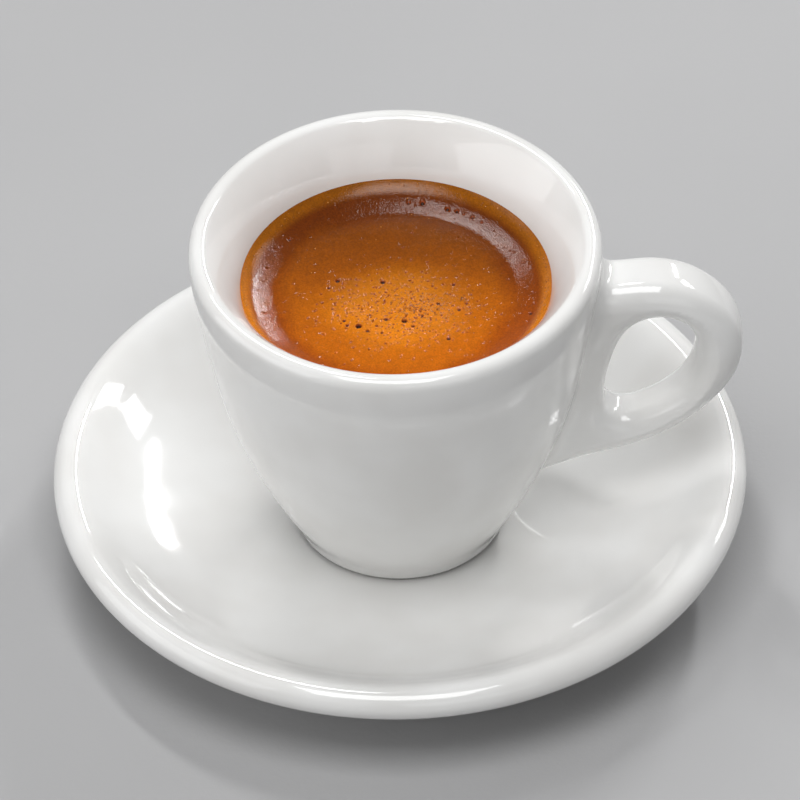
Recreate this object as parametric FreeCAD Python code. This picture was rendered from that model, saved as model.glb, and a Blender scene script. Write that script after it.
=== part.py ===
import FreeCAD, Part

import math
import os

# Espresso in a thick porcelain cup on its saucer, in millimetres, +Z up. The origin is the centre
# of the saucer's foot ring, on the surface that it stands on, and the handle points along +X.
# Four solids: the saucer, the cup with its handle, the coffee, and the crema that floats on it.

V = FreeCAD.Vector

# Saucer: a coupe dish with a thick rolled lip and a low foot ring
SAUCER_RADIUS = 55.8
SAUCER_LIP_RADIUS = 2.7
SAUCER_LIP_HEIGHT = 14.9
WELL_HEIGHT = 7.0
WELL_RADIUS = 20.0
SAUCER_FOOT_OUTER = 31.0
SAUCER_FOOT_INNER = 28.0
SAUCER_FOOT_ROUND = 0.6
SAUCER_RECESS_DEPTH = 2.4
SAUCER_RECESS_SLANT = 1.2

# Cup, with heights measured from the plane that its foot stands on
RIM_RADIUS = 33.0
RIM_HEIGHT = 58.1
LIP_OUTER_ROUND = 1.8
LIP_INNER_ROUND = 1.6
FOOT_RADIUS = 17.0
FOOT_ROUND = 0.8
FOOT_INNER_RADIUS = 13.8
FOOT_RECESS_DEPTH = 1.6
FOOT_RECESS_TAPER = 1.0
FLOOR_HEIGHT = 7.0

# Handle: an ear-shaped blade with a finger hole, wider at the top than at the bottom
HANDLE_HALF_WIDTH_TOP = 5.7
HANDLE_HALF_WIDTH_LOW = 4.7
HANDLE_LOW_Z = 15.0
HANDLE_TOP_Z = 52.0
HANDLE_EDGE_ROUND = 2.6

# Drink: how high the crema touches the wall, how far its middle lies below that, and its depth
CREMA_EDGE_HEIGHT = 49.4
CREMA_DIP = 2.2
MENISCUS_WIDTH = 6.0
CREMA_DEPTH = 3.0
CREMA_EDGE_RADIUS = 24.9

OUT = "parts"
BIG = 200.0


def on_axis_plane(r, z):
    """A point of a turned profile, at radius r and height z."""
    return V(r, 0, z)


def spline(points, start=None, end=None):
    """A smooth edge through (r, z) points, with the directions that it starts and ends in."""
    curve = Part.BSplineCurve()
    knots = [on_axis_plane(r, z) for r, z in points]
    if start and end:
        curve.interpolate(Points=knots, InitialTangent=on_axis_plane(*start),
                          FinalTangent=on_axis_plane(*end))
    else:
        curve.interpolate(Points=knots)
    return curve.toShape()


def closed_spline(points):
    """A smooth closed edge through (r, z) points."""
    curve = Part.BSplineCurve()
    curve.interpolate(Points=[on_axis_plane(r, z) for r, z in points], PeriodicFlag=True)
    return curve.toShape()


def line(a, b):
    """A straight edge between two (r, z) points."""
    return Part.LineSegment(on_axis_plane(*a), on_axis_plane(*b)).toShape()


def round_edge(centre, radius, from_deg, to_deg):
    """An arc about a (r, z) centre, between two angles counted from the +r direction."""
    def at(deg):
        angle = math.radians(deg)
        return on_axis_plane(centre[0] + radius * math.cos(angle),
                             centre[1] + radius * math.sin(angle))
    return Part.Arc(at(from_deg), at((from_deg + to_deg) / 2), at(to_deg)).toShape()


def on_circle(centre, radius, deg):
    """The (r, z) point of a circle at an angle counted from the +r direction."""
    angle = math.radians(deg)
    return (centre[0] + radius * math.cos(angle), centre[1] + radius * math.sin(angle))


def turned(edges):
    """The solid of a closed profile turned once round the Z axis."""
    face = Part.Face(Part.Wire(Part.sortEdges(edges)[0]))
    return face.revolve(V(0, 0, 0), V(0, 0, 1), 360)


def saucer():
    """A dish whose top falls from the lip to a flat well, on a turned foot ring."""
    lip = (SAUCER_RADIUS - SAUCER_LIP_RADIUS, SAUCER_LIP_HEIGHT)
    lip_inside, lip_under = 112.0, -62.0
    top_start = on_circle(lip, SAUCER_LIP_RADIUS, lip_inside)
    under_start = on_circle(lip, SAUCER_LIP_RADIUS, lip_under)
    fall = math.radians(lip_inside + 90)
    rise = math.radians(lip_under - 90)
    top = spline([top_start, (46.6, 14.15), (38.0, 10.45), (29.0, 8.0), (WELL_RADIUS, WELL_HEIGHT)],
                 start=(math.cos(fall), math.sin(fall)), end=(-1, 0))
    foot_edge = (SAUCER_FOOT_OUTER, SAUCER_FOOT_ROUND)
    under = spline([under_start, (45.0, 7.6), (36.5, 3.4), foot_edge],
                   start=(math.cos(rise), math.sin(rise)), end=(-0.8, -1))
    recess = SAUCER_RECESS_DEPTH
    foot_flat_outer = (SAUCER_FOOT_OUTER - SAUCER_FOOT_ROUND, 0)
    foot_flat_inner = (SAUCER_FOOT_INNER, 0)
    recess_edge = (SAUCER_FOOT_INNER - SAUCER_RECESS_SLANT, recess)
    return turned([
        round_edge(lip, SAUCER_LIP_RADIUS, lip_under, lip_inside),
        top,
        line((WELL_RADIUS, WELL_HEIGHT), (0, WELL_HEIGHT)),
        line((0, WELL_HEIGHT), (0, recess)),
        line((0, recess), recess_edge),
        line(recess_edge, foot_flat_inner),
        line(foot_flat_inner, foot_flat_outer),
        line(foot_flat_outer, foot_edge),
        under,
    ])


def cup_outside():
    """The cup's outer surface as a filled solid, from its foot to the middle of its lip."""
    lip = (RIM_RADIUS - LIP_OUTER_ROUND, RIM_HEIGHT - LIP_OUTER_ROUND)
    foot = (FOOT_RADIUS - FOOT_ROUND, FOOT_ROUND)
    foot_turn = -12.0
    foot_top = on_circle(foot, FOOT_ROUND, foot_turn)
    climb = math.radians(foot_turn + 90)
    wall = spline([foot_top, (18.8, 4.8), (23.3, 14.0), (27.7, 26.0), (30.4, 38.0), (32.2, 49.0),
                   (RIM_RADIUS, lip[1])],
                  start=(math.cos(climb), math.sin(climb)), end=(0, 1))
    lip_top = (lip[0], RIM_HEIGHT)
    return turned([
        line((0, 0), (foot[0], 0)),
        round_edge(foot, FOOT_ROUND, -90, foot_turn),
        wall,
        round_edge(lip, LIP_OUTER_ROUND, 0, 90),
        line(lip_top, (0, RIM_HEIGHT)),
        line((0, RIM_HEIGHT), (0, 0)),
    ])


def cup_inside():
    """The space inside the cup as a solid, up to well above the rim."""
    lip = (RIM_RADIUS - LIP_OUTER_ROUND, RIM_HEIGHT - LIP_INNER_ROUND)
    lip_turn = 135.0
    shoulder = on_circle(lip, LIP_INNER_ROUND, lip_turn)
    drop = math.radians(lip_turn + 90)
    wall = spline([shoulder, (26.9, 53.7), (CREMA_EDGE_RADIUS, CREMA_EDGE_HEIGHT), (24.2, 44.5),
                   (23.6, 37.0), (22.4, 28.0), (19.8, 19.0), (15.0, 11.8), (8.0, 7.9),
                   (0, FLOOR_HEIGHT)],
                  start=(math.cos(drop), math.sin(drop)), end=(-1, 0))
    lip_top = (lip[0], RIM_HEIGHT)
    above = RIM_HEIGHT + 5.0
    return turned([
        wall,
        round_edge(lip, LIP_INNER_ROUND, lip_turn, 90),
        line(lip_top, (lip[0], above)),
        line((lip[0], above), (0, above)),
        line((0, above), (0, FLOOR_HEIGHT)),
    ])


def half_width(z):
    """Half the handle's width at a height, growing from its low end to its top."""
    share = (z - HANDLE_LOW_Z) / (HANDLE_TOP_Z - HANDLE_LOW_Z)
    return HANDLE_HALF_WIDTH_LOW + share * (HANDLE_HALF_WIDTH_TOP - HANDLE_HALF_WIDTH_LOW)


def handle():
    """The ear-shaped blade, rounded all along its outer edge and its finger hole."""
    buried = 20.0
    outline = spline([(buried, 48.6), (28.0, 49.7), (34.0, 50.4), (40.0, 50.8), (46.0, 49.7),
                      (51.0, 46.2), (54.2, 41.2), (54.9, 36.5), (53.8, 31.0), (51.8, 27.4),
                      (48.6, 23.4), (44.8, 20.1), (39.8, 17.1), (34.4, 15.0), (27.4, 12.7),
                      (buried, 10.6)])
    back = line((buried, 10.6), (buried, 48.6))
    hole = closed_spline([(42.0, 44.1), (45.4, 43.0), (47.5, 40.4), (48.1, 36.0), (47.3, 31.4),
                          (45.4, 27.8), (42.8, 25.2), (39.4, 23.0), (35.8, 22.0), (33.2, 23.4),
                          (32.6, 27.0), (33.4, 32.4), (35.0, 38.0), (37.8, 42.4)])
    plate = Part.Face(Part.Wire([outline, back])).extrude(V(0, BIG, 0))
    plate = plate.cut(Part.Face(Part.Wire([hole])).extrude(V(0, BIG, 0)))
    plate.translate(V(0, -BIG / 2, 0))
    low, high = 0.0, RIM_HEIGHT
    corners = [V(0, -half_width(low), low), V(0, half_width(low), low),
               V(0, half_width(high), high), V(0, -half_width(high), high)]
    wedge = Part.Face(Part.makePolygon(corners + corners[:1])).extrude(V(BIG, 0, 0))
    blade = plate.common(wedge).Solids[0]
    return blade.makeFillet(HANDLE_EDGE_ROUND, [e for e in blade.Edges if along_side(e)])


def along_side(edge):
    """Whether an edge is a curved one along a side face of the blade."""
    box = edge.BoundBox
    return edge.Curve.TypeId != "Part::GeomLine" and abs(box.YMin + box.YMax) > 2


def cup():
    """The turned cup and its handle as one solid, hollowed and recessed under its foot."""
    recess = Part.makeCone(FOOT_INNER_RADIUS, FOOT_INNER_RADIUS - FOOT_RECESS_TAPER, FOOT_RECESS_DEPTH)
    body = cup_outside().fuse(handle())
    body = body.cut(cup_inside()).cut(recess)
    return body.removeSplitter()


def slab(low, high):
    """A flat round slab between two heights, wider than the cup."""
    return Part.makeCylinder(RIM_RADIUS, high - low, V(0, 0, low))


def crema_air():
    """The space over the crema: flat in the middle, a gentle slope, and a steep edge at the wall."""
    middle = CREMA_EDGE_HEIGHT - CREMA_DIP
    flat = (CREMA_EDGE_RADIUS - MENISCUS_WIDTH, middle)
    slope_start = (CREMA_EDGE_RADIUS - 0.8 * MENISCUS_WIDTH, middle + 0.07 * CREMA_DIP)
    slope_end = (CREMA_EDGE_RADIUS - 0.35 * MENISCUS_WIDTH, middle + 0.40 * CREMA_DIP)
    at_wall = (CREMA_EDGE_RADIUS, CREMA_EDGE_HEIGHT)
    past_wall = (CREMA_EDGE_RADIUS + 1.5, CREMA_EDGE_HEIGHT + CREMA_DIP)
    climb = spline([flat, slope_start, slope_end, at_wall, past_wall], start=(1, 0), end=(1, 1.5))
    above = RIM_HEIGHT
    return turned([
        line((0, middle), flat),
        climb,
        line(past_wall, (past_wall[0], above)),
        line((past_wall[0], above), (0, above)),
        line((0, above), (0, middle)),
    ])


def write(name, shape):
    """Reports a shape's size and writes its one solid as a STEP file."""
    solid = shape.Solids[0]
    box = solid.BoundBox
    print(f"{name}: {solid.isValid()} {len(shape.Solids)} solid, {solid.Volume / 1000:.2f} cm3, "
          f"x {box.XMin:.1f}..{box.XMax:.1f} z {box.ZMin:.1f}..{box.ZMax:.1f}")
    solid.exportStep(os.path.join(OUT, name + ".step"))


def on_well(shape):
    """The shape standing on the saucer's well."""
    raised = shape.copy()
    raised.translate(V(0, 0, WELL_HEIGHT))
    return raised


def main():
    """Builds the four solids and writes one STEP for each."""
    os.makedirs(OUT, exist_ok=True)
    crema_floor = CREMA_EDGE_HEIGHT - CREMA_DIP - CREMA_DEPTH
    inside = cup_inside()
    write("saucer", saucer())
    write("cup", on_well(cup()))
    write("coffee", on_well(inside.common(slab(0, crema_floor))))
    foam = inside.common(slab(crema_floor, CREMA_EDGE_HEIGHT)).cut(crema_air())
    write("crema", on_well(foam))


main()
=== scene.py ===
"""An espresso with its crema, in a thick glazed porcelain cup on a round saucer.

Sizes are in millimetres in the code and in metres in the meshes, with +Z up, the saucer's foot on
z = 0 and the handle towards +X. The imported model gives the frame: the saucer, the cup and the
crema are replaced by finer surfaces, and the coffee keeps its solid.
"""
from __future__ import annotations

import logging
import math
from dataclasses import dataclass, field
from enum import Enum

import bpy
import numpy as np
from mathutils import Matrix


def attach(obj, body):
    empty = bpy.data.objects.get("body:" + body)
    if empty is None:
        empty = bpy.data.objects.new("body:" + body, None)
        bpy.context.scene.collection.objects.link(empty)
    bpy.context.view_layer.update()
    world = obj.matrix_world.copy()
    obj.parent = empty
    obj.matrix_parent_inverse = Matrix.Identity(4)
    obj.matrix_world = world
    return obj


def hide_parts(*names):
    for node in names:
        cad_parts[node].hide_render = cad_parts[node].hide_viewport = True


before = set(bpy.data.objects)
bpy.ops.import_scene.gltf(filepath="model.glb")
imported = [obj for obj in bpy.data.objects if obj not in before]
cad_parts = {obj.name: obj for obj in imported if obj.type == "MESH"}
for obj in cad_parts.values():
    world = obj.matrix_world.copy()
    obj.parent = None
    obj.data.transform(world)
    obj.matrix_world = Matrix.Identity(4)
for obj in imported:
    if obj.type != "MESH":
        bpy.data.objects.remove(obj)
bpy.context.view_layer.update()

MM = 0.001
TINY = 1e-12
SAME_PLACE = 1e-6
FULL_TURN = 2 * math.pi
LOG = logging.getLogger("espresso")
Array = np.ndarray
Point = tuple[float, float]
Colour = tuple[float, float, float]
Thing = bpy.types.Object
Socket = bpy.types.NodeSocket


# ---- curves


def smooth_through(points: list[Point], count: int, start: Point | None = None,
                   end: Point | None = None) -> Array:
    """Runs a cubic spline through points, open with set end directions, or closed without them.

    The parameter is the chord length. Between two points the curve is a Hermite cubic, and the
    slopes m at the points solve m[i-1]/h[i-1] + 2 m[i] (1/h[i-1] + 1/h[i]) + m[i+1]/h[i]
    = 3 (rise[i-1]/h[i-1] + rise[i]/h[i]), which makes the second derivative continuous.

    Args:
        points: The (r, z) points that the curve passes through.
        count: How many points to return.
        start: The direction at the first point; left out, the curve is closed.
        end: The direction at the last point.

    Returns:
        An array of shape (count, 2).
    """
    closed = start is None
    knots = np.array(points + points[:1] if closed else points, dtype=float)
    gap = np.linalg.norm(np.diff(knots, axis=0), axis=1)
    rise = np.diff(knots, axis=0) / gap[:, None]
    size = len(knots)
    row = np.arange(1, size - 1)
    system, known = np.zeros((size, size)), np.zeros((size, 2))
    system[row, row - 1], system[row, row + 1] = 1 / gap[:-1], 1 / gap[1:]
    system[row, row] = 2 / gap[:-1] + 2 / gap[1:]
    known[1:-1] = 3 * (rise[:-1] / gap[:-1, None] + rise[1:] / gap[1:, None])
    if closed:
        system[0, [0, -1]] = 1, -1
        system[-1, [0, 1, -2, -1]] = 2 / gap[0], 1 / gap[0], 1 / gap[-1], 2 / gap[-1]
        known[-1] = 3 * (rise[0] / gap[0] + rise[-1] / gap[-1])
    else:
        system[0, 0] = system[-1, -1] = 1
        known[0], known[-1] = np.array(start) / np.hypot(*start), np.array(end) / np.hypot(*end)
    slope = np.linalg.solve(system, known)
    at = np.concatenate([[0], np.cumsum(gap)])
    s = np.linspace(0, at[-1], count, endpoint=not closed)
    i = np.clip(np.searchsorted(at, s, side="right") - 1, 0, size - 2)
    h, u = gap[i][:, None], ((s - at[i]) / gap[i])[:, None]
    return ((1 + 2 * u) * (1 - u) ** 2 * knots[i] + u * (1 - u) ** 2 * h * slope[i]
            + u * u * (3 - 2 * u) * knots[i + 1] + u * u * (u - 1) * h * slope[i + 1])


def arc(centre: Point, radius: float, from_deg: float, to_deg: float, count: int) -> Array:
    """The count points centre + radius (cos a, sin a), for a from one angle to another."""
    angle = np.radians(np.linspace(from_deg, to_deg, count))
    return np.array(centre) + radius * np.column_stack([np.cos(angle), np.sin(angle)])


def heading(degrees: float) -> Point:
    """The unit vector at an angle from +r."""
    return math.cos(math.radians(degrees)), math.sin(math.radians(degrees))


def straight(start: Point, end: Point, count: int) -> Array:
    """Evenly spaced points of the segment from start to end, both counted."""
    return np.linspace(np.array(start, dtype=float), np.array(end, dtype=float), count)


def joined(*runs: Array) -> Array:
    """Strings runs of points together and drops each point that repeats the one before it.

    Args:
        *runs: The runs of (r, z) points, in order.

    Returns:
        An array of shape (n, 2).
    """
    line = np.vstack(runs)
    keep = np.ones(len(line), dtype=bool)
    keep[1:] = np.linalg.norm(np.diff(line, axis=0), axis=1) > SAME_PLACE
    return line[keep]


def eased(value: Array, low: float, high: float) -> Array:
    """A step from 0 at low to 1 at high that follows t t (3 - 2 t)."""
    t = np.clip((value - low) / (high - low), 0, 1)
    return t * t * (3 - 2 * t)


def round_axis(angle: Array, far: Array) -> Array:
    """The points (far cos a, far sin a), of shape (n, 2)."""
    return np.column_stack([far * np.cos(angle), far * np.sin(angle)])


# ---- meshes


def write_mesh(name: str, points: Array, faces: list[Array],
               normals: Array | None = None) -> Thing:
    """Puts points and faces into a new smooth-shaded object at the origin.

    Args:
        name: The object's name.
        points: The vertices in millimetres, of shape (n, 3).
        faces: Index arrays, each of shape (m, corners), such as one of quads and one of triangles.
        normals: The exact vertex normals, where they are known.

    Returns:
        The object, linked to the scene.
    """
    mesh = bpy.data.meshes.new(name)
    corners = np.concatenate([group.ravel() for group in faces]).astype(np.int32)
    sizes = np.concatenate([np.full(len(group), group.shape[1]) for group in faces])
    mesh.vertices.add(len(points))
    mesh.vertices.foreach_set("co", (np.asarray(points) * MM).astype(np.float32).ravel())
    mesh.loops.add(len(corners))
    mesh.loops.foreach_set("vertex_index", corners)
    mesh.polygons.add(len(sizes))
    mesh.polygons.foreach_set("loop_start", (np.cumsum(sizes) - sizes).astype(np.int32))
    mesh.polygons.foreach_set("use_smooth", np.ones(len(sizes), dtype=bool))
    mesh.update(calc_edges=True)
    mesh.validate()
    if normals is not None:
        mesh.normals_split_custom_set_from_vertices(normals.astype(np.float32))
    thing = bpy.data.objects.new(name, mesh)
    bpy.context.scene.collection.objects.link(thing)
    return thing


def ring_faces(rings: int, sectors: int) -> tuple[Array, Array]:
    """The faces of rings of points with a pole beyond each end, for points in the order rings, poles.

    Args:
        rings: How many rings there are.
        sectors: How many points each has.

    Returns:
        The quads between the rings, and the triangles of the fans round the two poles.
    """
    index = np.arange(rings * sectors).reshape(rings, sectors)
    nxt = np.roll(index, -1, axis=1)
    quads = np.stack([index[:-1], index[1:], nxt[1:], nxt[:-1]], -1).reshape(-1, 4)
    fans = [np.stack([np.full(sectors, index.size), index[0], nxt[0]], -1),
            np.stack([np.full(sectors, index.size + 1), nxt[-1], index[-1]], -1)]
    return quads, np.vstack(fans)


def turned(name: str, profile: Array, sectors: int, lift: Array | None = None) -> Thing:
    """Turns a profile that starts and ends on the axis once round it.

    A point is (r cos a, r sin a, z) for each profile point (r, z) and each angle a. The two ends
    are single points, closed with fans of triangles.

    Args:
        name: The object's name.
        profile: The (r, z) points, clockwise when +r is to the right, so that faces point out.
        sectors: How many steps go round the axis.
        lift: A height to add for each inner profile point and angle, of shape (k - 2, sectors).

    Returns:
        The turned object.
    """
    angle = np.linspace(0, FULL_TURN, sectors, endpoint=False)
    r, z = profile[1:-1, :1], profile[1:-1, 1:]
    height = np.broadcast_to(z if lift is None else z + lift, (len(r), sectors))
    rings = np.stack([r * np.cos(angle), r * np.sin(angle), height], -1)
    poles = [[0, 0, profile[0, 1]], [0, 0, profile[-1, 1]]]
    points = np.vstack([rings.reshape(-1, 3), poles])
    return write_mesh(name, points, list(ring_faces(len(r), sectors)))


# ---- solids as distance fields


@dataclass
class Outline:
    """The distance to one or more closed outlines in a plane, kept on a lattice.

    The distance is exact on the lattice and read between its nodes with Catmull-Rom weights, so
    it and its slope are smooth everywhere near the outlines. It is negative inside.
    """

    loops: list[Array]
    low: Point
    high: Point
    pitch: float = 0.25
    axis_edge_counts: bool = True
    at_once: int = 60
    table: Array = field(init=False, repr=False)

    def __post_init__(self) -> None:
        """Fills the lattice."""
        shape = [int((high - low) / self.pitch) + 4 for low, high in zip(self.low, self.high)]
        u, v = np.meshgrid(self.low[0] + self.pitch * np.arange(shape[0]),
                           self.low[1] + self.pitch * np.arange(shape[1]), indexing="ij")
        nodes = np.column_stack([u.ravel(), v.ravel()])
        self.table = self.exact(nodes).reshape(u.shape)

    def exact(self, nodes: Array) -> Array:
        """The signed distance from each node to the nearest segment of the outlines.

        The nearest point of a segment a..b is a + t (b - a) with t = (p - a).(b - a) / |b - a|^2
        held between 0 and 1. A node is inside where a ray towards +u crosses the outlines an odd
        number of times.

        Args:
            nodes: The points to measure from, of shape (n, 2).

        Returns:
            An array of n distances.
        """
        best = np.full(len(nodes), np.inf)
        crossings = np.zeros(len(nodes), dtype=int)
        a = np.vstack(self.loops)
        b = np.vstack([np.roll(loop, -1, axis=0) for loop in self.loops])
        for part in np.array_split(np.arange(len(a)), max(1, len(a) // self.at_once)):
            start, run = a[part][None], (b - a)[part][None]
            away = nodes[:, None] - start
            t = np.clip((away * run).sum(-1) / np.maximum((run ** 2).sum(-1), TINY), 0, 1)
            distance = np.linalg.norm(away - t[..., None] * run, axis=-1)
            if not self.axis_edge_counts:
                on_axis = (start[..., 0] + run[..., 0] < SAME_PLACE) & (start[..., 0] < SAME_PLACE)
                distance = np.where(on_axis, np.inf, distance)
            best = np.minimum(best, distance.min(1))
            spans = (start[..., 1] > nodes[:, 1:]) != (start[..., 1] + run[..., 1] > nodes[:, 1:])
            rise = np.where(np.abs(run[..., 1]) > TINY, run[..., 1], TINY)
            right = nodes[:, :1] < start[..., 0] + run[..., 0] * away[..., 1] / rise
            crossings += (spans & right).sum(1)
        return np.where(crossings % 2 == 1, -best, best)

    def at(self, u: Array, v: Array) -> Array:
        """Reads the distance at any points.

        Args:
            u: The first coordinates.
            v: The second ones, of the same shape.

        Returns:
            The distances, of that shape.
        """
        total = np.zeros(np.broadcast(u, v).shape)
        cell, weights = [], []
        for value, low, size in ((u, self.low[0], self.table.shape[0]),
                                 (v, self.low[1], self.table.shape[1])):
            place = np.clip((value - low) / self.pitch, 1, size - 2.001)
            whole = np.floor(place).astype(int)
            t = place - whole
            cell.append(whole)
            weights.append((0.5 * (-t + 2 * t ** 2 - t ** 3), 0.5 * (2 - 5 * t ** 2 + 3 * t ** 3),
                            0.5 * (t + 4 * t ** 2 - 3 * t ** 3), 0.5 * (t ** 3 - t ** 2)))
        for i in range(4):
            row = sum(weights[1][j] * self.table[cell[0] + i - 1, cell[1] + j - 1] for j in range(4))
            total += weights[0][i] * row
        return total


@dataclass
class SurfaceNet:
    """Draws the zero surface of a distance field as a mesh of even quads.

    A lattice cell that the surface passes through gets one vertex, and a lattice edge that the
    surface crosses gets one quad between its four cells. The vertices then slide to the mean of
    their neighbours and back onto the surface by p - f(p) g / |g|^2, where g is f's gradient.
    """

    step: float
    low: tuple[float, float, float]
    high: tuple[float, float, float]
    rounds: int = 4
    probe: float = 0.02
    longest_slide: float = 0.5
    least_slope: float = 0.2
    evening: float = 0.6

    def gradient(self, solid: "CupShape", points: Array) -> Array:
        """The field's gradient by central differences, one probe each way."""
        reach = self.probe * np.eye(3)
        return np.stack([solid.distance(points + d) - solid.distance(points - d)
                         for d in reach], -1) / (2 * self.probe)

    def settled(self, solid: "CupShape", points: Array, times: int) -> Array:
        """Moves points onto the surface, at most the longest slide at a time.

        Args:
            solid: The shape with the distance field.
            points: The points to move.
            times: How many times to do it.

        Returns:
            The moved points.
        """
        for _ in range(times):
            slope = self.gradient(solid, points)
            steepness = np.maximum((slope ** 2).sum(-1), self.least_slope)
            step = solid.distance(points)[:, None] * slope / steepness[:, None]
            points = points - np.clip(step, -self.longest_slide, self.longest_slide)
        return points

    def draw(self, solid: "CupShape") -> tuple[Array, Array, Array]:
        """Makes the mesh.

        Args:
            solid: The shape with the distance field.

        Returns:
            The vertices, the quads and the vertex normals.
        """
        lines = [np.arange(low, high + self.step, self.step) for low, high in zip(self.low, self.high)]
        lattice = np.stack(np.meshgrid(*lines, indexing="ij"), -1)
        inside = solid.distance(lattice.reshape(-1, 3)).reshape(lattice.shape[:3]) < 0
        corners = sum(inside[i:len(lines[0]) - 1 + i, j:len(lines[1]) - 1 + j, k:len(lines[2]) - 1 + k]
                      .astype(np.int8) for i in (0, 1) for j in (0, 1) for k in (0, 1))
        crossed = (corners > 0) & (corners < 8)
        number = np.full(crossed.shape, -1)
        number[crossed] = np.arange(crossed.sum())
        points = lattice[:-1, :-1, :-1][crossed] + self.step / 2
        quads = np.vstack([self.quads_across(inside, number, axis) for axis in range(3)])
        points = self.settled(solid, points, 3)
        pairs = np.vstack([quads[:, [i, (i + 1) % 4]] for i in range(4)])
        pairs = np.vstack([pairs, pairs[:, ::-1]])
        degree = np.bincount(pairs[:, 0], minlength=len(points))[:, None]
        for _ in range(self.rounds):
            mean = np.stack([np.bincount(pairs[:, 0], points[pairs[:, 1], c], len(points))
                             for c in range(3)], -1) / degree
            points = self.settled(solid, points + self.evening * (mean - points), 1)
        points = self.settled(solid, points, 2)
        normals = self.gradient(solid, points)
        return points, quads, normals / np.linalg.norm(normals, axis=1, keepdims=True)

    @staticmethod
    def quads_across(inside: Array, number: Array, axis: int) -> Array:
        """The quads that lie across the lattice edges along one axis.

        Args:
            inside: Which lattice nodes are in the solid.
            number: Each cell's vertex number, or -1.
            axis: 0, 1 or 2 for edges along X, Y or Z.

        Returns:
            An array of quads whose faces point out of the solid.
        """
        solid, cells = np.moveaxis(inside, axis, 0), np.moveaxis(number, axis, 0)
        leaves = solid[:-1] & ~solid[1:]
        enters = ~solid[:-1] & solid[1:]
        quads = []
        for change, order in ((leaves, (0, 1, 2, 3)), (enters, (3, 2, 1, 0))):
            i, j, k = np.nonzero(change[:, 1:-1, 1:-1])
            around = [cells[i, j, k], cells[i, j + 1, k], cells[i, j + 1, k + 1], cells[i, j, k + 1]]
            if axis == 1:
                around = around[::-1]
            quads.append(np.stack([around[n] for n in order], -1))
        return np.vstack(quads)


# ---- finishes


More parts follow.
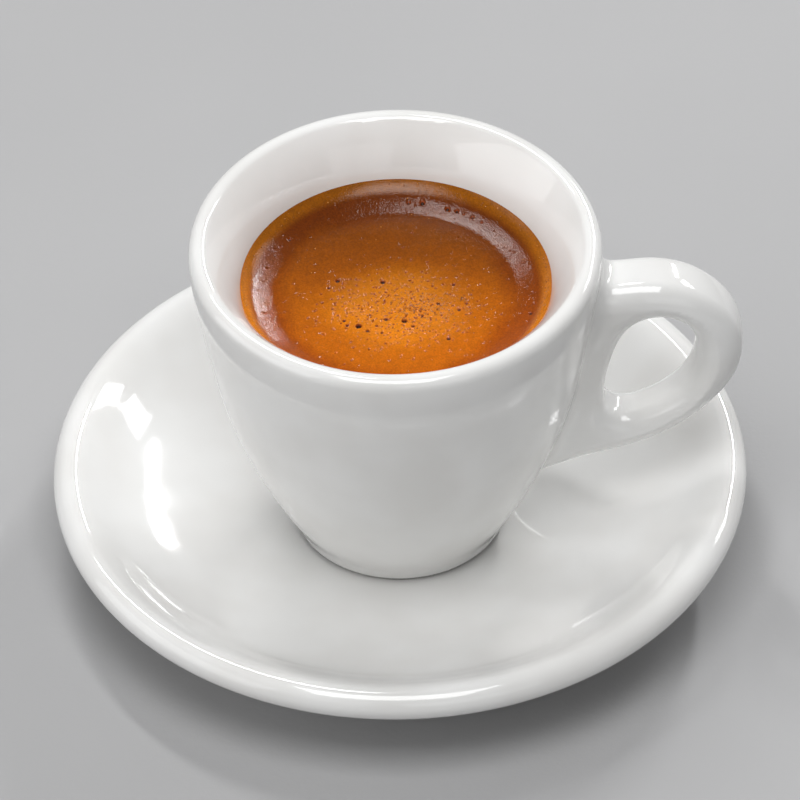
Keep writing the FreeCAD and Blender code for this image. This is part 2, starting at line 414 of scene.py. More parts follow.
class Graph:
    """A material's node tree, with a method for each kind of pattern that the finishes use."""

    def __init__(self, name: str) -> None:
        """Starts a material with an output and one shader.

        Args:
            name: The material's name.
        """
        self.material = bpy.data.materials.new(name)
        self.material.use_nodes = True
        self.tree = self.material.node_tree
        self.tree.nodes.clear()
        self.shader = self.node("BsdfPrincipled")
        self.node("OutputMaterial", {0: self.shader})
        metres = self.node("TexCoord").outputs["Object"]
        self.place = self.node("VectorMath", {0: metres, "Scale": 1 / MM}, operation="SCALE")

    def node(self, kind: str, feeds: dict[str | int, object] | None = None,
             **settings: object) -> bpy.types.Node:
        """Adds a node, sets its properties and feeds its inputs.

        Args:
            kind: The node's type, without the ShaderNode in front.
            feeds: What goes into its inputs, by name or number.
            **settings: Its properties by name.

        Returns:
            The node.
        """
        made = self.tree.nodes.new("ShaderNode" + kind)
        for key, value in settings.items():
            setattr(made, key, value)
        for key, value in (feeds or {}).items():
            self.feed(made.inputs[key], value)
        return made

    def feed(self, socket: Socket, value: object) -> None:
        """Links an input to a socket or to a node's first output, or sets a plain value.

        Args:
            socket: The input.
            value: The socket, node, number or colour.
        """
        if isinstance(value, bpy.types.Node):
            value = value.outputs[0]
        if isinstance(value, Socket):
            self.tree.links.new(value, socket)
        else:
            socket.default_value = (*value, 1.0) if socket.type == "RGBA" else value

    def noise(self, per_mm: float, detail: float = 3.0, rough: float = 0.5,
              shift: float = 0.0) -> Socket:
        """Fractal noise with about per_mm features in a millimetre, mostly between 0.3 and 0.7.

        It has detail octaves, each rough times the last, and another shift gives another noise.
        """
        feeds = {"Vector": self.place, "W": shift, "Scale": per_mm, "Detail": detail, "Roughness": rough}
        return self.node("TexNoise", feeds, noise_dimensions="4D").outputs["Fac"]

    def cells(self, per_mm: float) -> bpy.types.Node:
        """Scattered cells: the Distance to each cell's centre, and a random Color for each cell."""
        return self.node("TexVoronoi", {"Vector": self.place, "Scale": per_mm})

    def ramp(self, value: object, low: float, high: float, out_low: float = 0.0,
             out_high: float = 1.0) -> Socket:
        """A smooth step of a value, from out_low where it is low to out_high where it is high."""
        feeds = dict(enumerate((value, low, high, out_low, out_high)))
        return self.node("MapRange", feeds, interpolation_type="SMOOTHSTEP").outputs[0]

    def reckon(self, kind: str, first: object, second: object) -> Socket:
        """One arithmetic step on two values, such as ADD or MULTIPLY."""
        return self.node("Math", {0: first, 1: second}, operation=kind).outputs[0]

    def blend(self, share: object, first: object, second: object) -> Socket:
        """The colour first where share is 0 and second where it is 1."""
        feeds = {"Factor": share, 6: first, 7: second}
        return self.node("Mix", feeds, data_type="RGBA").outputs[2]

    def radius(self) -> Socket:
        """How far a place lies from the Z axis: the length of (x, y, 0), in millimetres."""
        flat = self.node("VectorMath", {0: self.place, 1: (1, 1, 0)}, operation="MULTIPLY")
        return self.node("VectorMath", {0: flat}, operation="LENGTH").outputs["Value"]

    def along(self, axis: str) -> Socket:
        """How far a place lies along X, Y or Z, in millimetres."""
        return self.node("SeparateXYZ", {0: self.place}).outputs[axis]

    def attribute(self, name: str) -> Socket:
        """The value of a layer that is kept in the mesh."""
        return self.node("Attribute", attribute_name=name).outputs["Fac"]

    def bump(self, height: object, depth_mm: float, under: object = None) -> Socket:
        """Relief of a given depth where the height goes from 0 to 1.

        Args:
            height: The pattern to raise.
            depth_mm: How far it is raised.
            under: Another relief that this one adds to.

        Returns:
            The bent normal.
        """
        feeds = {"Strength": 1.0, "Distance": depth_mm * MM, "Height": height}
        if under is not None:
            feeds["Normal"] = under
        return self.node("Bump", feeds).outputs[0]

    def dress(self, colour: object, roughness: object, **plain: object) -> bpy.types.Material:
        """Sets the shader's colour, its roughness and its plain sockets.

        Args:
            colour: The base colour.
            roughness: The roughness.
            **plain: Other sockets by name, with _ for a space.

        Returns:
            The finished material.
        """
        self.feed(self.shader.inputs["Base Color"], colour)
        self.feed(self.shader.inputs["Roughness"], roughness)
        for key, value in plain.items():
            self.feed(self.shader.inputs[key.replace("_", " ")], value)
        return self.material


@dataclass(frozen=True)
class PorcelainGlaze:
    """White porcelain under a clear poured glaze, unglazed where the foot stood in the kiln, with that
    foot band painted dark grey as the shade of the contact line under the foot.
    """

    name: str
    thick: Colour = (0.83, 0.83, 0.82)
    thin: Colour = (0.78, 0.775, 0.76)
    # painted shade: the dark grey of the unglazed foot band stands for the shadowed contact line under
    # the foot; the unglazed porcelain itself is paler.
    bare_foot_shade: Colour = (0.17, 0.16, 0.15)
    foot_shade_below: float = 0.25
    gloss: float = 0.045

    def material(self) -> bpy.types.Material:
        """The glaze pools and thins over centimetres, and has a faint ripple and a few pinholes. The
        unglazed foot band is rougher, and its dark grey is painted shade.

        Returns:
            The finished material.
        """
        g = Graph(self.name)
        pooling = g.ramp(g.noise(0.06, 2.0), 0.35, 0.65)
        # painted shade: below the given height the foot band is coloured dark grey, standing for the
        # shadowed contact line where the foot meets the surface below, and made rougher as unglazed
        # porcelain.
        bare_foot_shade = g.ramp(g.along("Z"), self.foot_shade_below - 0.1, self.foot_shade_below, 1.0, 0.0)
        grain = g.noise(4.0, 4.0, shift=2.0)
        shaded_clay = g.blend(g.ramp(grain, 0.4, 0.8), self.bare_foot_shade, self.thin)
        colour = g.blend(bare_foot_shade, g.blend(pooling, self.thick, self.thin), shaded_clay)
        pores = g.cells(0.35)
        chosen = g.ramp(pores.outputs["Color"], 0.84, 0.86)
        pinhole = g.reckon("MULTIPLY", chosen, g.ramp(pores.outputs["Distance"], 0.02, 0.07, 1.0, 0.0))
        ripple = g.bump(g.noise(0.11, 2.0, shift=5.0), 0.02)
        fine = g.bump(g.noise(0.9, 2.0, shift=7.0), 0.0025, ripple)
        relief = g.bump(g.reckon("MULTIPLY", pinhole, -1.0), 0.01, fine)
        smear = g.ramp(g.noise(0.25, 4.0, shift=9.0), 0.35, 0.7, self.gloss, self.gloss + 0.05)
        rough = g.reckon("ADD", smear, g.reckon("MULTIPLY", bare_foot_shade, 0.5))
        return g.dress(colour, rough, Normal=relief, IOR=1.52, Coat_Weight=0.25, Coat_Roughness=0.03)


@dataclass(frozen=True)
class CremaFoam:
    """Fine wet coffee foam: orange in its middle, brown where it thins, gold along the wall, and painted
    darker towards the back as the shade of the cup's back wall.
    """

    name: str = "crema_foam"
    middle: Colour = (0.66, 0.195, 0.003)
    body: Colour = (0.41, 0.098, 0.0015)
    thin: Colour = (0.27, 0.052, 0.001)
    edge: Colour = (0.60, 0.180, 0.004)
    wet: Colour = (0.26, 0.040, 0.001)
    pit: Colour = (0.030, 0.008, 0.002)
    wall_radius: float = 24.9

    def material(self) -> bpy.types.Material:
        """Rings of colour round the axis under three scales of mottling, pits and micro-bubbles, with
        painted shade that darkens the foam from front to back.

        Returns:
            The finished material.
        """
        g = Graph(self.name)
        r = g.radius()
        swirl = g.reckon("SUBTRACT", g.noise(0.09, 3.0, 0.55), 0.5)
        drift = g.reckon("ADD", r, g.reckon("MULTIPLY", swirl, 7.0))
        mid = g.attribute("middle")
        wobble = g.reckon("ADD", mid, g.reckon("MULTIPLY", swirl, 0.9))
        tone = g.blend(g.ramp(wobble, 0.0, 1.1), self.body, self.middle)
        tone = g.blend(g.ramp(drift, 16.5, 21.0), tone, self.thin)
        tone = g.blend(g.ramp(r, self.wall_radius - 2.4, self.wall_radius - 0.6), tone, self.edge)
        cloud = g.ramp(g.noise(0.7, 5.0, 0.6, 3.0), 0.36, 0.66, 0.93, 1.05)
        grain = g.ramp(g.noise(3.2, 3.0, 0.6, 6.0), 0.3, 0.7, 0.80, 1.14)
        # painted shade: the colour is scaled from 1.28 at the front to 0.48 at the back, lighter in front
        # and darker behind, standing for the shadow that the cup's back wall casts on the foam.
        back = g.ramp(g.along("Y"), -16.0, 17.0, 1.28, 0.48)
        strength = g.reckon("MULTIPLY", back, g.reckon("MULTIPLY", cloud, grain))
        mottled_and_shaded = g.node("VectorMath", {0: tone, "Scale": strength}, operation="SCALE")
        froth = g.cells(1.25)
        dot = g.ramp(froth.outputs["Distance"], 0.13, 0.27, 1.0, 0.0)
        rare = g.ramp(froth.outputs["Color"], 0.40, 0.50)
        density = g.ramp(mid, 0.1, 0.9, 0.08, 0.55)
        speck = g.reckon("MULTIPLY", g.reckon("MULTIPLY", dot, rare), density)
        pit = g.attribute("pit")
        wet = g.blend(g.reckon("MAXIMUM", speck, g.ramp(pit, 0.1, 0.45)), mottled_and_shaded, self.wet)
        colour = g.blend(g.ramp(pit, 0.42, 0.66), wet, self.pit)
        soft = g.bump(g.noise(0.5, 2.0, shift=4.0), 0.06)
        fizz = g.bump(g.noise(4.0, 2.0, 0.6, 8.0), 0.04, soft)
        relief = g.bump(g.reckon("MULTIPLY", speck, -1.0), 0.05, fizz)
        rough = g.ramp(g.noise(1.5, 3.0, shift=1.0), 0.3, 0.7, 0.06, 0.12)
        return g.dress(colour, rough, Normal=relief, IOR=1.36, Specular_IOR_Level=0.52)


@dataclass(frozen=True)
class BubbleFilm:
    """The skin of a bubble that stands on the foam: thin, wet and see-through to the foam."""

    name: str
    colour: Colour = (0.62, 0.25, 0.05)
    deep: Colour = (0.20, 0.055, 0.012)

    def material(self) -> bpy.types.Material:
        """The film is darker where the coffee runs down between bubbles.

        Returns:
            The finished material.
        """
        g = Graph(self.name)
        runs = g.ramp(g.noise(1.6, 3.0, 0.6, 2.0), 0.38, 0.62)
        colour = g.blend(runs, self.deep, self.colour)
        relief = g.bump(g.noise(3.0, 2.0, shift=3.0), 0.01)
        rough = g.ramp(g.noise(2.0, 2.0, shift=5.0), 0.3, 0.7, 0.05, 0.12)
        return g.dress(colour, rough, Normal=relief, IOR=1.34, Coat_Weight=0.2, Coat_Roughness=0.03)


@dataclass(frozen=True)
class DarkCoffee:
    """The coffee under the foam, almost black with a red-brown glow."""

    name: str = "dark_coffee"
    deep: Colour = (0.018, 0.006, 0.002)
    glow: Colour = (0.055, 0.018, 0.005)

    def material(self) -> bpy.types.Material:
        """Fine oils drift in it and dull its gloss a little.

        Returns:
            The finished material.
        """
        g = Graph(self.name)
        drift = g.ramp(g.noise(0.3, 4.0, 0.6), 0.35, 0.65)
        oil = g.ramp(g.noise(1.2, 3.0, shift=4.0), 0.45, 0.6, 0.05, 0.14)
        relief = g.bump(g.noise(0.4, 2.0, shift=6.0), 0.02)
        return g.dress(g.blend(drift, self.deep, self.glow), oil, Normal=relief, IOR=1.34)


@dataclass(frozen=True)
class StudioPaper:
    """The pale matt sheet that the saucer stands on."""

    name: str = "studio_paper"
    light: Colour = (0.44, 0.44, 0.445)
    dark: Colour = (0.41, 0.41, 0.415)

    def material(self) -> bpy.types.Material:
        """Fine paper tooth and a slow change of tone."""
        g = Graph(self.name)
        return g.dress(g.blend(g.noise(0.02, 2.0), self.dark, self.light), 0.75,
                       Normal=g.bump(g.noise(1.2, 4.0, shift=3.0), 0.03))


# ---- saucer


@dataclass
class Saucer:
    """A coupe saucer: a flat well, a rising side, a thick rolled lip and a low foot ring."""

    radius: float = 55.8
    lip_radius: float = 2.7
    lip_height: float = 14.9
    well_height: float = 7.0
    well_radius: float = 20.0
    foot_outer: float = 31.0
    foot_inner: float = 28.0
    foot_round: float = 0.6
    foot_inner_round: float = 0.5
    recess: float = 2.4
    recess_round: float = 1.0
    warp: float = 0.12
    sectors: int = 256

    def profile(self) -> Array:
        """The section from the middle of the well, over the lip, and back under to the axis.

        Returns:
            The (r, z) points in order.
        """
        lip = (self.radius - self.lip_radius, self.lip_height)
        over, below = 112.0, -62.0
        roll = arc(lip, self.lip_radius, over, below, 40)
        side = smooth_through([tuple(roll[0]), (46.6, 14.15), (38.0, 10.45), (29.0, 8.0),
                               (self.well_radius, self.well_height)], 70,
                              heading(over + 90), (-1, 0))[::-1]
        under = smooth_through([tuple(roll[-1]), (45.0, 7.6), (36.5, 3.4),
                                (self.foot_outer, self.foot_round)], 50,
                               heading(below - 90), (-0.8, -1))
        ring = arc((self.foot_outer - self.foot_round, self.foot_round), self.foot_round, 0, -90, 6)
        inner = self.foot_inner_round
        sill = arc((self.foot_inner + inner, inner), inner, -90, -180, 6)
        bend = arc((self.foot_inner - self.recess_round, self.recess - self.recess_round),
                   self.recess_round, 0, 90, 8)
        return joined(straight((0, self.well_height), (self.well_radius, self.well_height), 26), side,
                      roll, under, ring, sill, bend, straight(tuple(bend[-1]), (0, self.recess), 18))

    def build(self) -> Thing:
        """Turns the section, with a trace of the kiln's warp at the lip.

        The warp is w cos(2 a + 0.6) and a third as much of cos(3 a + 2), over the angle a.

        Returns:
            The dressed saucer.
        """
        section = self.profile()
        angle = np.linspace(0, FULL_TURN, self.sectors, endpoint=False)
        share = eased(section[1:-1, :1], self.foot_outer + 1.0, self.radius)
        warp = share * self.warp * (np.cos(2 * angle + 0.6) + np.cos(3 * angle + 2.0) / 3)
        made = turned("saucer_dish", section, self.sectors, warp)
        made.data.materials.append(PorcelainGlaze("glaze_saucer").material())
        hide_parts("saucer")
        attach(made, "root")
        return made


# ---- cup


@dataclass
class CupShape:
    """The cup with its handle as one smooth solid: heights count from the plane it stands on."""

    rim_radius: float = 33.0
    rim_height: float = 58.1
    lip_outer: float = 1.8
    lip_inner: float = 1.6
    foot_radius: float = 17.0
    foot_round: float = 1.1
    recess_radius: float = 13.8
    recess_depth: float = 1.6
    recess_round: float = 0.8
    sill_round: float = 0.5
    floor_height: float = 7.0
    blade_top: float = 5.7
    blade_low: float = 4.7
    blade_round: float = 3.2
    blade_crown: float = 1.0
    crown_level: float = 0.45
    blade_from: float = 15.0
    blade_rise: float = 37.0
    buried_at: float = 12.0
    glaze_fillet: float = 2.8
    stands_at: float = 7.0
    body: Outline = field(init=False, repr=False)
    ear: Outline = field(init=False, repr=False)

    def __post_init__(self) -> None:
        """Works out the two distance tables."""
        self.body = Outline([self.section()], (0.0, -2.5), (37.0, 61.5), axis_edge_counts=False)
        self.ear = Outline([self.ear_outline(), self.finger_hole()], (14.0, 5.0), (60.0, 58.0))

    def section(self) -> Array:
        """The body's section: foot, outside, lip, inside and floor, closed along the axis.

        Returns:
            The (r, z) points in order.
        """
        lip = (self.rim_radius - self.lip_outer, self.rim_height - self.lip_outer)
        foot = (self.foot_radius - self.foot_round, self.foot_round)
        turn, shoulder_turn = -12.0, 135.0
        foot_arc = arc(foot, self.foot_round, -90, turn, 14)
        outside = smooth_through([tuple(foot_arc[-1]), (18.8, 4.8), (23.3, 14.0), (27.7, 26.0),
                                  (30.4, 38.0), (32.2, 49.0), (self.rim_radius, lip[1])], 220,
                                 heading(turn + 90), (0, 1))
        lip_in = (lip[0], self.rim_height - self.lip_inner)
        inner_arc = arc(lip_in, self.lip_inner, 90, shoulder_turn, 12)
        inside = smooth_through([tuple(inner_arc[-1]), (26.9, 53.7), (24.9, 49.4), (24.2, 44.5),
                                 (23.6, 37.0), (22.4, 28.0), (19.8, 19.0), (15.0, 11.8), (8.0, 7.9),
                                 (0.0, self.floor_height)], 220,
                                heading(shoulder_turn + 90), (-1, 0))
        sill = arc((self.recess_radius + self.sill_round, self.sill_round), self.sill_round,
                   -180, -90, 8)
        bend = arc((self.recess_radius - self.recess_round, self.recess_depth - self.recess_round),
                   self.recess_round, 90, 0, 8)
        under = straight((0, self.recess_depth), tuple(bend[0]), 30)
        return joined(under, bend, sill, foot_arc, outside, arc(lip, self.lip_outer, 0, 90, 20),
                      inner_arc, inside)

    @staticmethod
    def ear_outline() -> Array:
        """The handle's outer edge, with its buried side along the middle of the wall.

        Returns:
            The (x, z) points.
        """
        return smooth_through([(28.0, 49.5), (34.0, 50.4), (40.0, 50.8), (46.0, 49.7), (51.0, 46.2),
                               (54.2, 41.2), (54.9, 36.5), (53.8, 31.0), (51.8, 27.4), (48.6, 23.4),
                               (44.8, 20.1), (39.8, 17.1), (34.4, 15.0), (27.4, 12.7), (23.4, 11.4),
                               (19.6, 12.8), (22.4, 20.0), (25.6, 30.0), (27.2, 40.0),
                               (27.4, 47.0)], 700)

    @staticmethod
    def finger_hole() -> Array:
        """The teardrop hole, wide above and narrow below.

        Returns:
            The (x, z) points.
        """
        return smooth_through([(42.0, 44.1), (45.4, 43.0), (47.5, 40.4), (48.1, 36.0), (47.3, 31.4),
                               (45.4, 27.8), (42.8, 25.2), (39.4, 23.0), (35.8, 22.0), (33.2, 23.4),
                               (32.6, 27.0), (33.4, 32.4), (35.0, 38.0), (37.8, 42.4)], 400)

    def distance(self, points: Array) -> Array:
        """The distance from points to the solid's surface, negative inside.

        The body is read at (sqrt(x^2 + y^2), z). The handle is its outline e(x, z) taken
        across to |y| = w(z), with edges rounded by q and the width crowned by c about the share n:
        with a = e + q + c (min((y / w)^2, 1) - n) and b = |y| - w + q, it is
        sqrt(max(a, 0)^2 + max(b, 0)^2) + min(max(a, b), 0) - q. Body f and handle h are joined by
        a fillet: min(f, h) - k s^2 / 4, where s = max(k - |f - h|, 0) / k. The handle counts only
        where x is past buried_at, so that it doesn't show on the far side.

        Args:
            points: Positions in millimetres, of shape (n, 3).

        Returns:
            An array of n distances.
        """
        x, y, z = points[:, 0], points[:, 1], points[:, 2] - self.stands_at
        body = self.body.at(np.hypot(x, y), z)
        taper = (self.blade_top - self.blade_low) / self.blade_rise
        width = self.blade_low + (z - self.blade_from) * taper
        crown = self.blade_crown * (np.minimum((y / width) ** 2, 1) - self.crown_level)
        a = self.ear.at(x, z) + self.blade_round + crown
        b = np.abs(y) - width + self.blade_round
        ear = np.hypot(np.maximum(a, 0), np.maximum(b, 0)) + np.minimum(np.maximum(a, b), 0)
        ear = np.where(x > self.buried_at, ear - self.blade_round, np.inf)
        overlap = np.maximum(self.glaze_fillet - np.abs(body - ear), 0) / self.glaze_fillet
        return np.minimum(body, ear) - self.glaze_fillet * overlap ** 2 / 4


@dataclass
class Cup:
    """The porcelain cup, drawn from its shape and glazed."""

    shape: CupShape = field(default_factory=CupShape)
    step: float = 0.62

    def build(self) -> Thing:
        """Draws the cup's surface.

        Returns:
            The dressed cup.
        """
        base = self.shape.stands_at
        net = SurfaceNet(self.step, (-34.1, -34.3, base - 1.4), (57.0, 34.3, base + 59.6))
        points, quads, normals = net.draw(self.shape)
        made = write_mesh("cup_body", points, [quads], normals)
        # painted shade: the dark foot band reaches 0.7 mm up the cup's foot.
        made.data.materials.append(PorcelainGlaze("glaze_cup", foot_shade_below=base + 0.7).material())
        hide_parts("cup")
        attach(made, "root")
        return made


# ---- drink


class Place(Enum):
    """Where on the crema a family of bubbles sits."""

    MIDDLE = "middle"
    RING = "ring"
    EVERYWHERE = "everywhere"


@dataclass(frozen=True)
class Bubbles:
    """A family of bubbles of like size."""

    name: str
    count: int
    smallest: float
    largest: float
    place: Place
    seed: int


@dataclass
class Crema:
    """The foam on the coffee: flat, climbing at the wall, with popped pits and standing bubbles."""

    wall_radius: float = 24.9
    reach: float = 25.25
    edge_level: float = 56.4
    dip: float = 2.2
    depth: float = 3.0
    knee: Point = (18.3, 20.2)
    side_slope: float = 0.25
    outer_growth: float = 0.03
    steep_from: float = 22.0
    steep_slope: float = 0.70
    steep_power: float = 1.5
    oval: Point = (15.5, 12.5)
    oval_forward: float = 3.0
    swell: float = 0.006
    strewn_pits: tuple[int, int] = (760, 160)
    pits_within: float = 23.6
    cluster: Point = (4.8, -3.0)
    cluster_spread: Point = (4.2, 2.8)
    bubble_lift: float = 0.02
    lines: int = 312
    seed: int = 11
    popped: tuple[tuple[float, float, float], ...] = (
        (2.3, 21.4, 0.34), (4.5, 21.2, 0.46), (8.5, 19.7, 0.40), (10.0, 19.1, 0.38), (11.1, 18.4, 0.22),
        (12.5, 17.6, 0.32), (13.9, 16.4, 0.24), (-16.9, 13.3, 0.34), (-18.3, 11.5, 0.26),
        (-20.7, 6.5, 0.24), (-6.1, -6.9, 0.56), (1.2, -5.9, 0.50), (-1.7, -5.5, 0.38),
        (-7.9, -6.7, 0.34), (-4.7, -8.1, 0.34), (-2.1, 3.3, 0.46), (-9.3, 3.8, 0.44),
        (-10.7, 2.2, 0.32), (-8.4, -5.6, 0.34), (6.7, -2.0, 0.36), (9.2, 2.4, 0.34), (8.2, -10.3, 0.38),
        (10.0, -3.6, 0.34), (11.2, -2.1, 0.30), (2.6, -7.2, 0.34), (21.4, -5.6, 0.38), (22.0, -3.3, 0.26),
        (21.9, -0.6, 0.28), (20.8, -7.4, 0.24), (-2.4, -8.6, 0.30), (-9.4, -4.3, 0.26),
        (-11.8, -1.3, 0.26), (4.1, -4.7, 0.30), (-3.2, -6.9, 0.28))

    def disc(self) -> tuple[Array, Array]:
        """A square grid of lines bent into a disc, closer together in its middle.

        With u and v from -1 to 1, the point is (u sqrt(1 - v^2/2), v sqrt(1 - u^2/2)), and its
        distance d from the middle is changed to d (0.78 + 0.22 d d).

        Returns:
            The grid's x and y, as fractions of the radius.
        """
        line = np.linspace(-1, 1, self.lines)
        u, v = np.meshgrid(line, line, indexing="ij")
        x, y = u * np.sqrt(1 - v * v / 2), v * np.sqrt(1 - u * u / 2)
        closer = 0.78 + 0.22 * (x * x + y * y)
        return x * closer, y * closer

    def level(self, r: Array) -> Array:
        """The foam's height at a radius: flat, then a gentle slope, then a steep edge at the wall.

        The slope is side_slope times a smooth step across the knee, then grows by outer_growth
        a millimetre, plus steep_slope times t^steep_power with t from 0 at steep_from to 1 at
        the wall. The height is the sum of the slope from the middle outwards.

        Args:
            r: Distances from the axis.

        Returns:
            The heights above the table.
        """
        line = np.linspace(0, self.reach + 0.2, 1200)
        steep = np.clip((line - self.steep_from) / (self.wall_radius - self.steep_from), 0, None)
        slope = self.side_slope * eased(line, *self.knee)
        slope += self.steep_slope * steep ** self.steep_power
        slope += self.outer_growth * np.clip(line - self.knee[1], 0, None)
        rise = np.concatenate([[0], np.cumsum((slope[1:] + slope[:-1]) / 2 * np.diff(line))])
        return self.edge_level + np.interp(r, line, rise) - np.interp(self.wall_radius, line, rise)

    def middle_share(self, x: Array, y: Array) -> Array:
        """How much a place belongs to the mottled oval, which lies off the middle to the front."""
        return 1 - eased(np.hypot(x / self.oval[0], (y + self.oval_forward) / self.oval[1]), 0.2, 1.15)

    def pits(self) -> Array:
        """The popped bubbles: the placed ones and small ones strewn over the mottled oval.

        Returns:
            Rows of x, y and radius.
        """
        rng = np.random.default_rng(self.seed)
        many, few = self.strewn_pits
        spot = rng.normal((0.0, -2.8), (6.8, 4.9), (many, 2))
        fine = np.column_stack([spot, rng.uniform(0.11, 0.24, many)])
        angle, far = rng.uniform(0, FULL_TURN, few), self.pits_within * np.sqrt(rng.uniform(0, 1, few))
        loose = np.column_stack([round_axis(angle, far), rng.uniform(0.10, 0.18, few)])
        everything = np.vstack([np.array(self.popped), fine, loose])
        return everything[np.hypot(everything[:, 0], everything[:, 1]) < self.pits_within]

    def dents(self, x: Array, y: Array) -> tuple[Array, Array]:
        """How deep the popped bubbles leave the surface, and how much of a pit each place is.

        A pit of radius p is a bowl 1.1 p (1 - d d / p p) deep inside it, with a raised lip
        0.05 p exp(-((d - 1.15 p) / 0.25 p)^2) round it, where d is the distance from its middle.

        Args:
            x: The grid's x in millimetres.
            y: Its y.

        Returns:
            The change of height and the share of pit, each of the grid's shape.
        """
        change, share = np.zeros_like(x), np.zeros_like(x)
        for px, py, p in self.pits():
            near = (np.abs(x - px) < 2 * p) & (np.abs(y - py) < 2 * p)
            d = np.hypot(x[near] - px, y[near] - py) / p
            bowl = 1.1 * p * np.clip(1 - d * d, 0, None)
            change[near] += 0.05 * p * np.exp(-((d - 1.15) / 0.25) ** 2) - bowl
            strength = np.clip(1.25 - d, 0, 1) * np.clip(2.4 * p, 0.25, 1)
            share[near] = np.maximum(share[near], strength)
        return change, share

    def build(self) -> Thing:
        """Makes the foam: its top as a height over the disc, then a skirt and a flat underside.

        The top has a faint swell, the sum of waves sin(a x + b y + c) that die out at the wall.

        Returns:
            The dressed foam.
        """
        rng = np.random.default_rng(self.seed + 1)
        x, y = (self.reach * part for part in self.disc())
        r = np.hypot(x, y)
        change, share = self.dents(x, y)
        waves = rng.uniform(0.15, 0.75, (14, 2)) * rng.choice([-1, 1], (14, 2))
        phase = rng.uniform(0, FULL_TURN, 14)
        swell = sum(np.sin(a * x + b * y + c) for (a, b), c in zip(waves, phase)) * self.swell
        z = self.level(r) + change + swell * (1 - eased(r, 23.0, 25.0))
        top = np.stack([x, y, z], -1).reshape(-1, 3)
        index = np.arange(self.lines ** 2).reshape(self.lines, self.lines)
        quads = np.stack([index[:-1, :-1], index[1:, :-1], index[1:, 1:], index[:-1, 1:]], -1)
        edge = np.concatenate([index[:-1, 0], index[-1, :-1], index[:0:-1, -1], index[0, :0:-1]])
        floor = top[edge] * (0.975, 0.975, 0) + (0, 0, self.edge_level - self.dip - self.depth)
        low = np.arange(len(edge)) + len(top)
        skirt = np.stack([edge, low, np.roll(low, -1), np.roll(edge, -1)], -1)
        hub = np.full(len(edge), len(top) + len(edge))
        fan = np.stack([low, hub, np.roll(low, -1)], -1)
        points = np.vstack([top, floor, [[0, 0, floor[0, 2]]]])
        made = write_mesh("crema_foam", points, [quads.reshape(-1, 4), skirt, fan])
        rest = np.zeros(len(points) - len(top))
        for name, values in (("pit", share), ("middle", self.middle_share(x, y))):
            layer = made.data.attributes.new(name, "FLOAT", "POINT")
            layer.data.foreach_set("value", np.concatenate([values.ravel(), rest]).astype(np.float32))
        made.data.materials.append(CremaFoam(wall_radius=self.wall_radius).material())
        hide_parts("crema")
        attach(made, "root")
        return made

    def spots(self, family: Bubbles, rng: np.random.Generator) -> Array:
        """Where a family's bubbles stand.

        Args:
            family: The bubbles to place.
            rng: The source of chance.

        Returns:
            Their x and y, of shape (n, 2), clear of the wall.
        """
        if family.place is Place.MIDDLE:
            spot = rng.normal(self.cluster, self.cluster_spread, (family.count, 2))
        else:
            angle = rng.uniform(0, FULL_TURN, family.count)
            if family.place is Place.RING:
                far = rng.uniform(self.wall_radius - 1.2, self.wall_radius - 0.4, family.count)
            else:
                far = (self.wall_radius - 0.7) * np.sqrt(rng.uniform(0, 1, family.count))
            spot = round_axis(angle, far)
        return spot[np.hypot(spot[:, 0], spot[:, 1]) < self.wall_radius - family.largest]

    def blow(self, family: Bubbles) -> Thing:
        """Blows a family of bubbles as flattened domes that sit a little in the foam.

        A dome's points are radius (sin p cos a, sin p sin a, 0.7 cos p) from its middle, for p
        from 0 to 110 degrees, closed below by one point.

        Args:
            family: The bubbles to make.

        Returns:
            The dressed bubbles, as one object.
        """
        rng = np.random.default_rng(family.seed)
        spot = self.spots(family, rng)
        size = rng.uniform(family.smallest, family.largest, len(spot))
        p = np.radians([[28.0], [58.0], [86.0], [110.0]])
        a = np.linspace(0, FULL_TURN, 9, endpoint=False)
        rings = np.stack([np.sin(p) * np.cos(a), np.sin(p) * np.sin(a), 0.7 * np.cos(p) + 0 * a], -1)
        dome = np.vstack([rings.reshape(-1, 3), [[0, 0, 0.7], [0, 0, -0.4]]])
        centre = np.column_stack([spot, self.level(np.hypot(*spot.T)) + self.bubble_lift])
        points = (centre[:, None] + size[:, None, None] * dome[None]).reshape(-1, 3)
        shift = (len(dome) * np.arange(len(spot)))[:, None, None]
        faces = [(part[None] + shift).reshape(-1, part.shape[1]) for part in ring_faces(len(p), len(a))]
        made = write_mesh(family.name, points, faces)
        made.data.materials.append(BubbleFilm("film_" + family.name).material())
        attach(made, "root")
        return made


@dataclass
class Coffee:
    """The liquid under the crema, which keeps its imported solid."""

    finish: DarkCoffee = DarkCoffee()

    def build(self) -> Thing:
        """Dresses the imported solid.

        Returns:
            The coffee's object.
        """
        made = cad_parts["coffee"]
        look = self.finish.material()
        for slot in made.material_slots:
            slot.material = look
        return made


# ---- studio


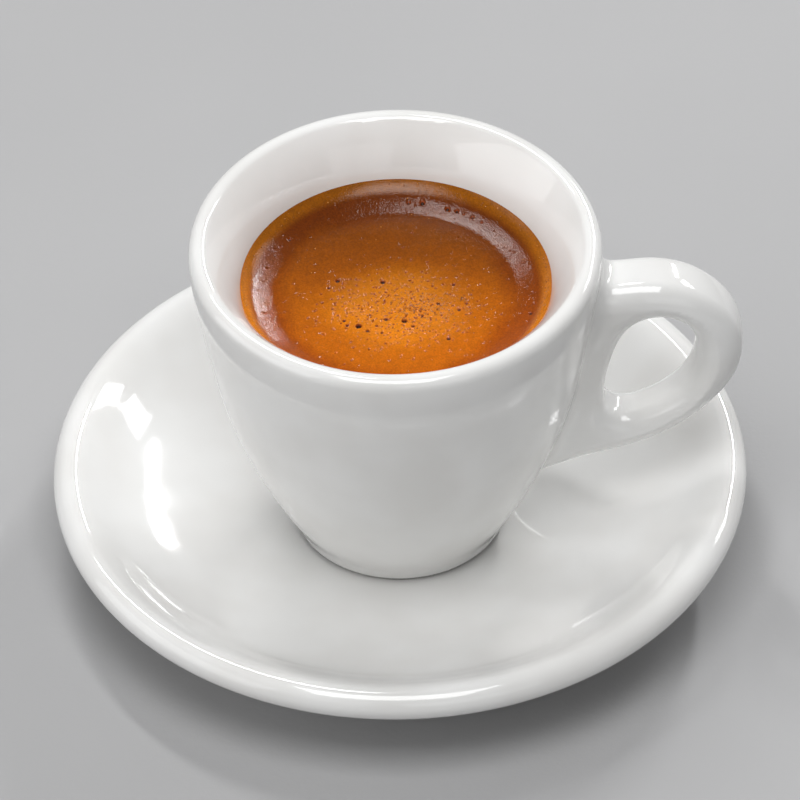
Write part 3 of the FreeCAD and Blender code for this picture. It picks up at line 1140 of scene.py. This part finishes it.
def hang(name: str, data: bpy.types.ID, centre: Array, bearing: float, elevation: float,
         distance: float, spin: float) -> Thing:
    """Hangs a light or a camera so that it looks at a centre.

    Its place is centre + distance (cos e cos b, cos e sin b, sin e), for the bearing b, which is
    0 at +X and 90 at +Y, and the elevation e.

    Args:
        name: The object's name.
        data: The light or the camera.
        centre: What it looks at, in metres.
        bearing: Its angle round the Z axis.
        elevation: Its angle above the level.
        distance: How far off it is, in metres.
        spin: Its turn about its own line of sight.

    Returns:
        The object, linked to the scene.
    """
    turn, lift = math.radians(bearing), math.radians(elevation)
    made = bpy.data.objects.new(name, data)
    made.location = centre + distance * np.array([math.cos(lift) * math.cos(turn),
                                                  math.cos(lift) * math.sin(turn), math.sin(lift)])
    aim = Matrix.Rotation(turn + math.pi / 2, 3, "Z") @ Matrix.Rotation(math.pi / 2 - lift, 3, "X")
    made.rotation_euler = (aim @ Matrix.Rotation(math.radians(spin), 3, "Z")).to_euler()
    bpy.context.scene.collection.objects.link(made)
    return made


@dataclass(frozen=True)
class Softbox:
    """A soft panel light, aimed at the cup from a bearing round it, with its sizes in metres."""

    name: str
    bearing: float
    elevation: float
    distance: float
    width: float
    height: float
    watts: float
    slant: float = 0.0
    aim_height: float = 0.035

    def build(self) -> Thing:
        """Hangs the panel.

        Returns:
            The light.
        """
        lamp = bpy.data.lights.new(self.name, "AREA")
        lamp.shape, lamp.energy = "RECTANGLE", self.watts
        lamp.size, lamp.size_y = self.width, self.height
        return hang(self.name, lamp, np.array([0, 0, self.aim_height]), self.bearing, self.elevation,
                    self.distance, self.slant)


@dataclass
class Studio:
    """The pale sheet, the soft panels and the camera, with places in metres."""

    bearing: float = -90.0
    elevation: float = 42.9
    distance: float = 3.0
    roll: float = -1.2
    mm_per_width: float = 128.4
    aim_height: float = 0.0311
    aim_side: float = 0.00025
    glow: float = 0.20
    sheet_reach: float = 4000.0
    panels: tuple[Softbox, ...] = (
        Softbox("key_strip", 112, 60, 0.75, 0.050, 0.34, 1.45, 19),
        Softbox("side_strip", 62, 32, 0.80, 0.030, 0.29, 2.05, 38),
        Softbox("corner_panel", 40, 36, 0.80, 0.18, 0.085, 0.48, 30),
        Softbox("top_panel", -96, 70, 0.95, 0.56, 0.50, 4.9),
        Softbox("left_fill", 198, 14, 1.00, 1.15, 0.85, 4.0),
        Softbox("front_fill", -70, 20, 1.20, 0.80, 0.50, 0.8))

    def build(self) -> Thing:
        """Sets up the floor, the lights and the camera.

        Returns:
            The floor.
        """
        corners = self.sheet_reach * np.array([[-1, -1, 0], [1, -1, 0], [1, 1, 0], [-1, 1, 0]])
        sheet = write_mesh("floor_sheet", corners, [np.array([[0, 1, 2, 3]])])
        sheet.data.materials.append(StudioPaper().material())
        for panel in self.panels:
            panel.build()
        world = bpy.data.worlds.new("studio_air")
        bpy.context.scene.world = world
        world.use_nodes = True
        air = world.node_tree.nodes["Background"]
        air.inputs["Color"].default_value = (1.0, 1.0, 1.0, 1.0)
        air.inputs["Strength"].default_value = self.glow
        bpy.context.scene.view_settings.view_transform = "Standard"
        self.hang_camera()
        return sheet

    def hang_camera(self) -> None:
        """Aims the camera down at the cup from the front, with a long lens.

        The lens is sensor width * distance / the width of the view.
        """
        lens = bpy.data.cameras.new("camera")
        lens.lens = lens.sensor_width * self.distance / (self.mm_per_width * MM)
        lens.clip_end = 50.0
        aim = np.array([self.aim_side, 0, self.aim_height])
        camera = hang("camera", lens, aim, self.bearing, self.elevation, self.distance, self.roll)
        bpy.context.scene.camera = camera


def main() -> None:
    """Builds every piece in order and reports it."""
    logging.basicConfig(level=logging.INFO, format="%(name)s: %(message)s")
    crema = Crema()
    pieces = [Saucer().build(), Cup().build(), Coffee().build(), crema.build()]
    families = (Bubbles("bubbles_fine", 300, 0.07, 0.14, Place.MIDDLE, 3),
                Bubbles("bubbles_loose", 40, 0.06, 0.13, Place.EVERYWHERE, 5),
                Bubbles("bubbles_wall", 110, 0.06, 0.14, Place.RING, 7))
    pieces += [crema.blow(family) for family in families]
    Studio().build()
    for piece in pieces:
        LOG.info("%s: %d faces", piece.name, len(piece.data.polygons))


if __name__ == "__main__":
    main()
